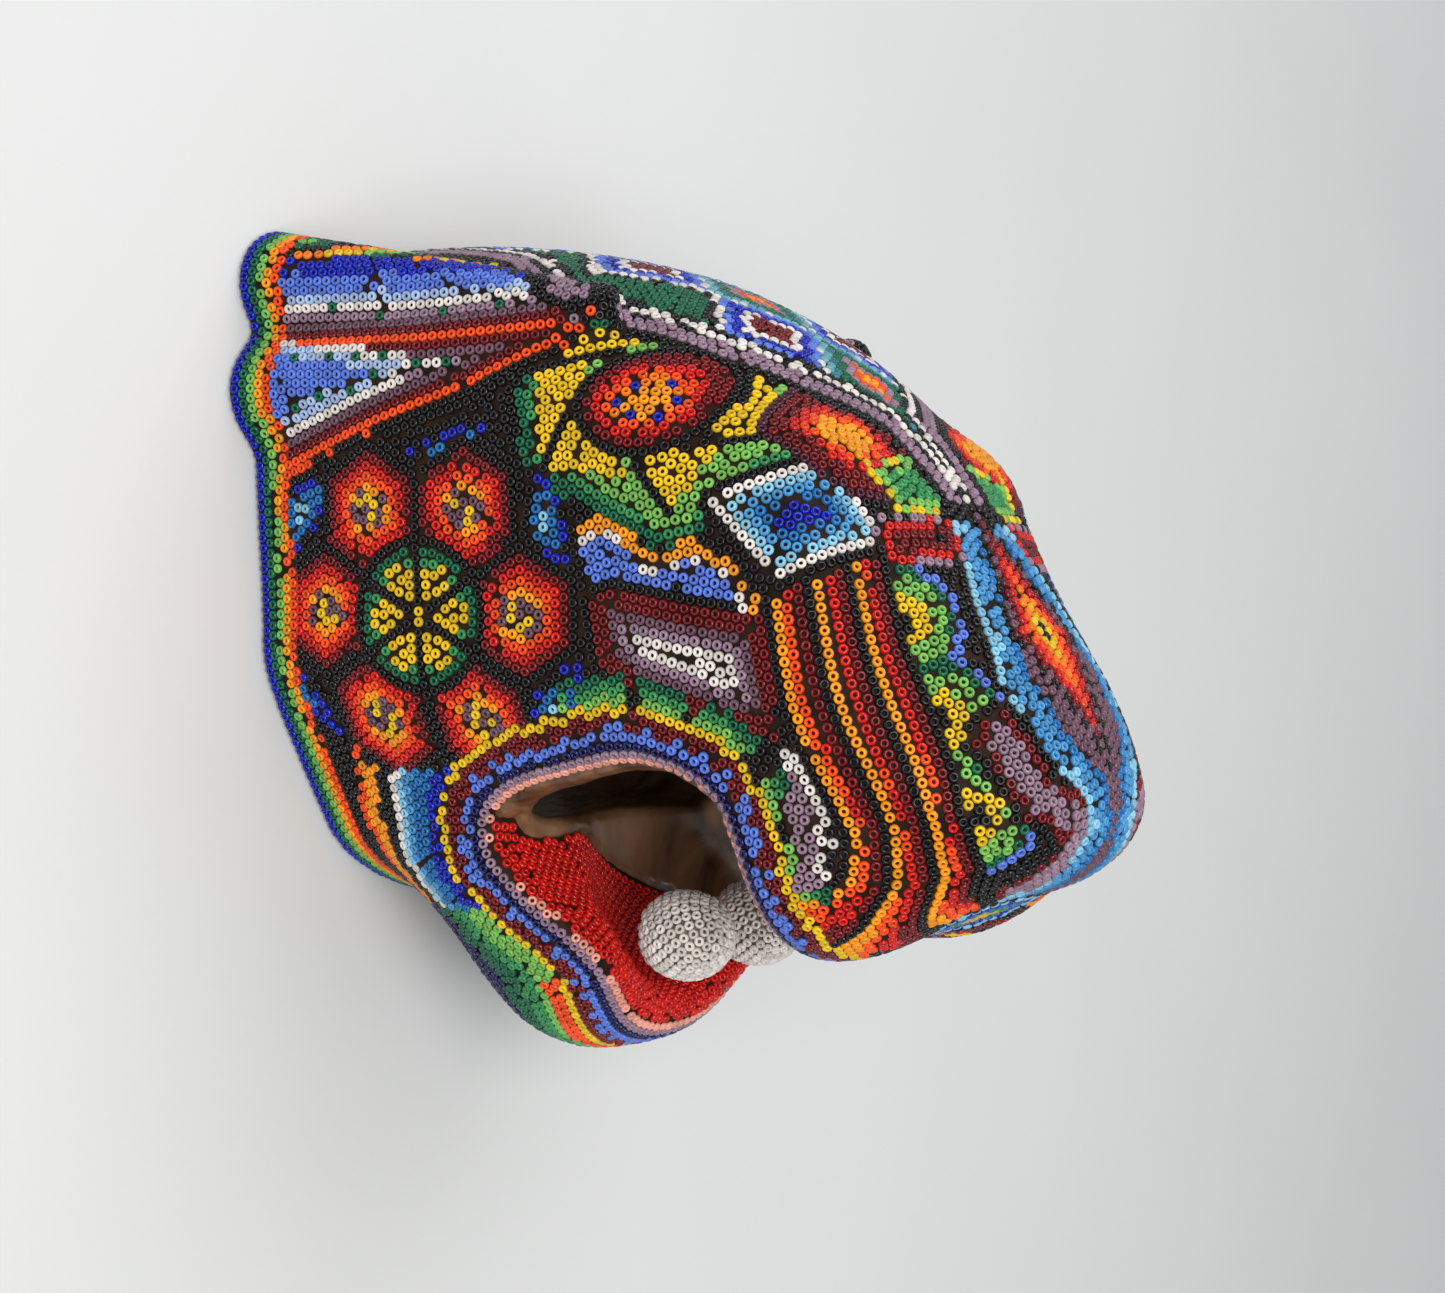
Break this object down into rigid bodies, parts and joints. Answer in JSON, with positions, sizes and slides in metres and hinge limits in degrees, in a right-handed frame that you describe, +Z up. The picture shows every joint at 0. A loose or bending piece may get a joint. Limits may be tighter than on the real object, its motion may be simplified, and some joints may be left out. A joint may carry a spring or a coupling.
{
  "type": "beaded animal head",
  "caption": "Hollow carved wooden head of a big cat with an open mouth, coated with beeswax and covered all over with glass seed beads in geometric motifs.",
  "frame": {"origin": "centre of the bounding box on the flat neck rim, which is the plane z = 0 that the head stands on", "axes": "+Z up from the neck rim to the nose, +X towards the open mouth, +Y towards the animal's left side"},
  "size_m": [0.1759, 0.1396, 0.1653],
  "materials": {
    "wood": "carved wood under a brown varnish",
    "wax": "dark beeswax pressed over the wood",
    "peg": "turned wooden peg, painted off-white",
    "beads_white": "opaque white glass seed beads, laid hole-up",
    "beads_red": "opaque red glass seed beads, laid hole-up",
    "beads_rim": "rows of blue, green, yellow and orange glass seed beads",
    "beads_border": "rows of dark red, blue, navy and lavender glass seed beads",
    "beads_crown": "teal, blue, white and lavender glass seed beads in diamonds",
    "beads_nose": "blue, green and white glass seed beads",
    "beads_bridge": "mauve, blue and orange glass seed beads",
    "beads_eye": "white and blue glass seed beads in a diamond",
    "beads_ear": "lavender, blue, white and red glass seed beads in stripes",
    "beads_stripes": "red, orange, yellow and black glass seed beads in bands",
    "beads_arches": "green, yellow and blue glass seed beads in arches",
    "beads_whiskers": "green, black and white glass seed beads",
    "beads_cheek": "dark red, mauve and white glass seed beads in a leaf",
    "beads_flower": "red, orange, yellow and green glass seed beads in a rosette",
    "beads_sun": "yellow, green and dark red glass seed beads round a disc",
    "beads_forehead": "red, orange, green and black glass seed beads",
    "beads_chin": "light green, orange and dark green glass seed beads",
    "beads_throat": "blue, white, black and orange glass seed beads"
  },
  "bodies": {
    "root": {"head_core": "wood", "wax_coat": "wax", "fang_peg_right": "peg", "fang_peg_left": "peg", "fang_beads_right": "beads_white", "fang_beads_left": "beads_white", "jaw_lining_beads": "beads_red", "rim_beads": "beads_rim", "mouth_border_beads": "beads_border", "crown_beads": "beads_crown", "nose_beads": "beads_nose", "bridge_beads": "beads_bridge", "eye_right_beads": "beads_eye", "eye_left_beads": "beads_eye", "ear_right_beads": "beads_ear", "ear_left_beads": "beads_ear", "stripes_right_beads": "beads_stripes", "stripes_left_beads": "beads_stripes", "arches_right_beads": "beads_arches", "arches_left_beads": "beads_arches", "whiskers_right_beads": "beads_whiskers", "whiskers_left_beads": "beads_whiskers", "cheek_right_beads": "beads_cheek", "cheek_left_beads": "beads_cheek", "flower_right_beads": "beads_flower", "flower_left_beads": "beads_flower", "sun_right_beads": "beads_sun", "sun_left_beads": "beads_sun", "forehead_right_beads": "beads_forehead", "forehead_left_beads": "beads_forehead", "chin_beads": "beads_chin", "throat_beads": "beads_throat"}
  },
  "joints": []
}
